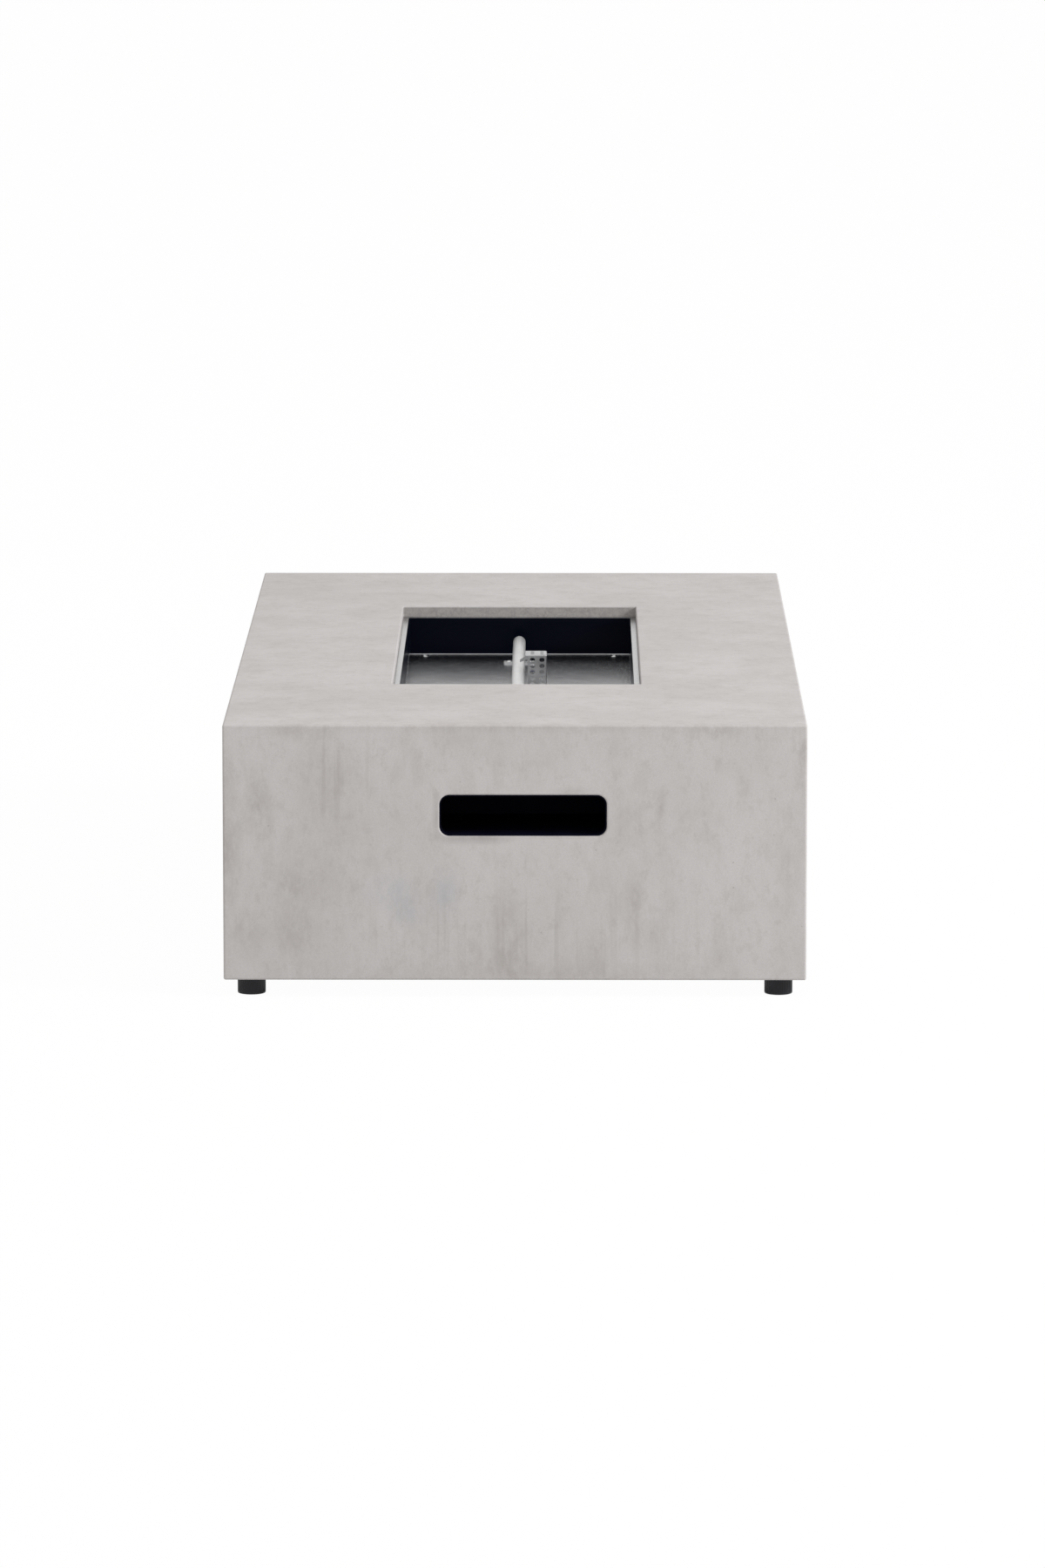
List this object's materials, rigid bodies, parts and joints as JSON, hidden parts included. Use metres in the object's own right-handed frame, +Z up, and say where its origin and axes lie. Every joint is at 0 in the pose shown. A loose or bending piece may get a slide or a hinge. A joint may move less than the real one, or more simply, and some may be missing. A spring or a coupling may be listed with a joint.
{
  "type": "gas fire pit table",
  "caption": "Low rectangular cast concrete gas fire table with a drop-in burner pan, tube burner, end hand slot with knob and igniter, and levelling feet.",
  "frame": {"origin": "on the ground plane, under the centre of the table", "axes": "+X to the right seen from the control end, +Y along the table away from the hand slot, +Z up"},
  "size_m": [0.711, 1.422, 0.3359],
  "materials": {
    "concrete": "smooth cast concrete, cloudy light grey",
    "foot_rubber": "black moulded rubber",
    "zinc_screws": "zinc plated",
    "bright_screws": "bright stainless heads",
    "brass": "machined",
    "black_steel": "black powder coat, semi-matt",
    "pan_enamel": "blue-black heat-resistant coating, semi-gloss",
    "burner_steel": "stainless tube, satin",
    "bracket_steel": "stainless sheet",
    "guard_steel": "perforated stainless sheet",
    "galvanised_steel": "galvanised sheet",
    "cast_zinc": "zinc casting",
    "cast_aluminium": "sand-textured die casting",
    "black_plastic": "black moulded plastic",
    "button_plastic": "black push button",
    "dial_face": "dark plate with plain white marks",
    "flex_steel": "corrugated stainless connector",
    "battery_jacket": "plain printed jacket",
    "white_ceramic": "glazed alumina",
    "electrode_wire": "heat-tinted wire",
    "probe_steel": "sensor sheath",
    "copper_lead": "copper capillary",
    "wire_jacket": "silicone jacket"
  },
  "bodies": {
    "table": {"concrete_shell": "concrete", "foot_inserts": "brass", "slot_bezel": "black_steel", "control_bay": "black_steel", "bay_screws": "zinc_screws", "burner_pan": "pan_enamel", "heat_shield": "galvanised_steel", "shield_standoffs": "zinc_screws", "pan_corner_screws": "bright_screws", "shield_nuts": "zinc_screws", "burner_tube": "burner_steel", "tube_end_caps": "burner_steel", "burner_saddles": "bracket_steel", "saddle_screws": "bright_screws", "burner_feed": "burner_steel", "feed_locknut": "zinc_screws", "air_mixer": "cast_zinc", "gas_orifice": "brass", "gas_valve_body": "cast_aluminium", "valve_bonnet": "bracket_steel", "bonnet_screws": "zinc_screws", "dial_plate": "dial_face", "valve_screws": "zinc_screws", "inlet_fitting": "brass", "flex_connector": "flex_steel", "flare_nuts": "brass", "igniter_housing": "black_plastic", "igniter_cap": "black_plastic", "igniter_lock_ring": "zinc_screws", "igniter_battery": "battery_jacket", "sensor_guard": "guard_steel", "sensor_bracket": "bracket_steel", "guard_screws": "bright_screws", "spark_electrode": "white_ceramic", "electrode_rod": "electrode_wire", "thermocouple": "probe_steel", "thermocouple_lead": "copper_lead", "thermocouple_nut": "brass", "ignition_wire": "wire_jacket", "wire_clips": "galvanised_steel"},
    "gas_plug": {"valve_plug": "brass"},
    "control_knob": {"valve_spindle": "zinc_screws", "control_knob": "black_plastic"},
    "igniter_button": {"igniter_button": "button_plastic"},
    "foot_front_left": {"foot_pad_front_left": "foot_rubber", "foot_stud_front_left": "zinc_screws"},
    "foot_front_right": {"foot_pad_front_right": "foot_rubber", "foot_stud_front_right": "zinc_screws"},
    "foot_back_left": {"foot_pad_back_left": "foot_rubber", "foot_stud_back_left": "zinc_screws"},
    "foot_back_right": {"foot_pad_back_right": "foot_rubber", "foot_stud_back_right": "zinc_screws"}
  },
  "joints": [
    {"name": "knob_turn", "type": "hinge", "parent": "table", "child": "gas_plug", "pos_m": [0.052, -0.5348, 0.2569], "axis": [0, -1, 0], "range_deg": [0, 180]},
    {"name": "knob_push", "type": "slide", "parent": "gas_plug", "child": "control_knob", "axis": [0, 1, 0], "range_m": [0, 0.003], "stiffness_N_per_m": 2000, "springref_m": -0.002},
    {"name": "igniter_press", "type": "slide", "parent": "table", "child": "igniter_button", "axis": [0, 1, 0], "range_m": [0, 0.004], "stiffness_N_per_m": 1200, "springref_m": -0.002},
    {"name": "foot_front_left_screw", "type": "slide", "parent": "table", "child": "foot_front_left", "axis": [0, 0, -1], "range_m": [0, 0.012]},
    {"name": "foot_front_right_screw", "type": "slide", "parent": "table", "child": "foot_front_right", "axis": [0, 0, -1], "range_m": [0, 0.012]},
    {"name": "foot_back_left_screw", "type": "slide", "parent": "table", "child": "foot_back_left", "axis": [0, 0, -1], "range_m": [0, 0.012]},
    {"name": "foot_back_right_screw", "type": "slide", "parent": "table", "child": "foot_back_right", "axis": [0, 0, -1], "range_m": [0, 0.012]}
  ]
}
